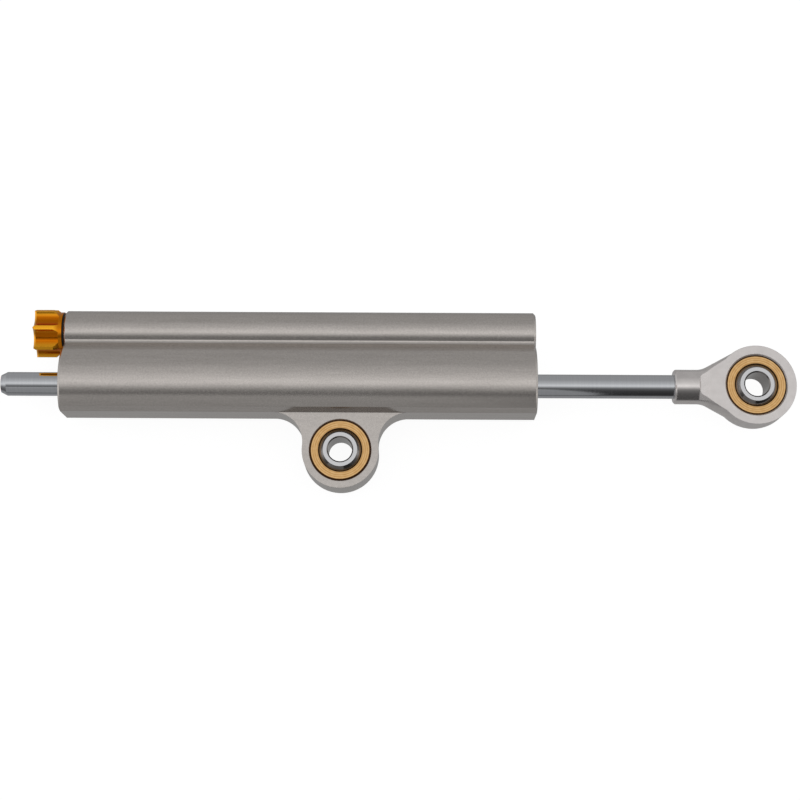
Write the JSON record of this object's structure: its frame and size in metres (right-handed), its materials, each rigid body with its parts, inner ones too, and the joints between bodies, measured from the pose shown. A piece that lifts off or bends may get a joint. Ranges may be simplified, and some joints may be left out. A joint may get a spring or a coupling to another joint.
{
  "type": "motorcycle steering damper",
  "caption": "Through-rod steering damper: twin-bore grey body with a ball-jointed mounting lug, chromed rod with a ball-jointed rod end, and a fluted gold click adjuster",
  "frame": {"origin": "centre of the bolt bore in the mounting lug's ball", "axes": "+X along the damper towards the rod end's eye, +Y from the lug towards the adjuster tube, +Z along both bolt bores, out of the face the picture shows"},
  "size_m": [0.2657, 0.0612, 0.0276],
  "materials": {
    "hard_anodised_grey": "bead-blasted, hard anodised in a warm titanium grey",
    "machined_aluminium": "fine turned and clear anodised",
    "gold_anodised": "turned, milled and bright anodised in orange gold",
    "black_anodised": "turned and anodised black",
    "hard_chrome": "ground, hard chromed and polished",
    "bearing_steel": "ground bearing steel, dark",
    "plain_steel": "turned or pressed steel with a light oil film",
    "spring_steel": "blackened spring steel",
    "bearing_bronze": "fine turned bronze",
    "needle_brass": "turned brass",
    "nitrile_rubber": "moulded black rubber",
    "seal_polyurethane": "moulded dark blue-grey polyurethane",
    "wear_band": "bronze-filled green PTFE"
  },
  "bodies": {
    "body": {"housing": "hard_anodised_grey", "lug_race": "bearing_bronze", "rear_gland": "machined_aluminium", "front_gland": "machined_aluminium", "gland_o_rings": "nitrile_rubber", "rod_bushes": "bearing_bronze", "rod_seals": "seal_polyurethane", "rod_wipers": "nitrile_rubber", "gland_clips": "spring_steel", "bump_rings": "nitrile_rubber", "adjuster_bush": "black_anodised", "bush_o_ring": "nitrile_rubber", "spindle_o_ring": "nitrile_rubber", "spindle_clip": "spring_steel", "key_pin": "plain_steel", "needle_seat": "plain_steel", "port_plugs": "hard_anodised_grey", "fill_screw": "spring_steel", "reservoir_plug": "machined_aluminium", "plug_o_ring": "nitrile_rubber", "plug_clip": "spring_steel"},
    "rod": {"piston_rod": "hard_chrome", "piston": "machined_aluminium", "piston_band": "wear_band", "piston_o_ring": "nitrile_rubber", "piston_clips": "spring_steel", "rod_end": "machined_aluminium", "eye_race": "bearing_bronze"},
    "adjuster": {"adjuster_knob": "gold_anodised", "adjuster_spindle": "plain_steel", "knob_screw": "spring_steel", "click_balls": "bearing_steel", "click_springs": "plain_steel"},
    "needle_valve": {"needle": "needle_brass", "needle_o_ring": "nitrile_rubber"},
    "lug_bearing": {"lug_ball": "bearing_steel"},
    "eye_bearing": {"eye_ball": "bearing_steel"},
    "separator": {"separator_piston": "machined_aluminium", "separator_o_ring": "nitrile_rubber"}
  },
  "joints": [
    {"name": "rod_slide", "type": "slide", "parent": "body", "child": "rod", "axis": [1, 0, 0], "range_m": [-0.045, 0.018]},
    {"name": "lug_swivel", "type": "hinge", "parent": "body", "child": "lug_bearing", "pos_m": [0, 0, 0], "axis": [0, 0, 1], "continuous": true},
    {"name": "eye_swivel", "type": "hinge", "parent": "rod", "child": "eye_bearing", "pos_m": [0.1384, 0.0229, -0.0018], "axis": [0, 0, 1], "continuous": true},
    {"name": "needle_feed", "type": "slide", "parent": "body", "child": "needle_valve", "axis": [1, 0, 0], "range_m": [-0.0008, 0.0008]},
    {"name": "knob_turn", "type": "hinge", "parent": "body", "child": "adjuster", "pos_m": [-0.098, 0.0405, -0.0018], "axis": [1, 0, 0], "range_deg": [-360, 360]},
    {"name": "separator_float", "type": "slide", "parent": "body", "child": "separator", "axis": [1, 0, 0], "range_m": [-0.006, 0.006]}
  ],
  "couplings": [
    {"joint": "knob_turn", "follows": "needle_feed", "rad_per_m": 7854}
  ]
}
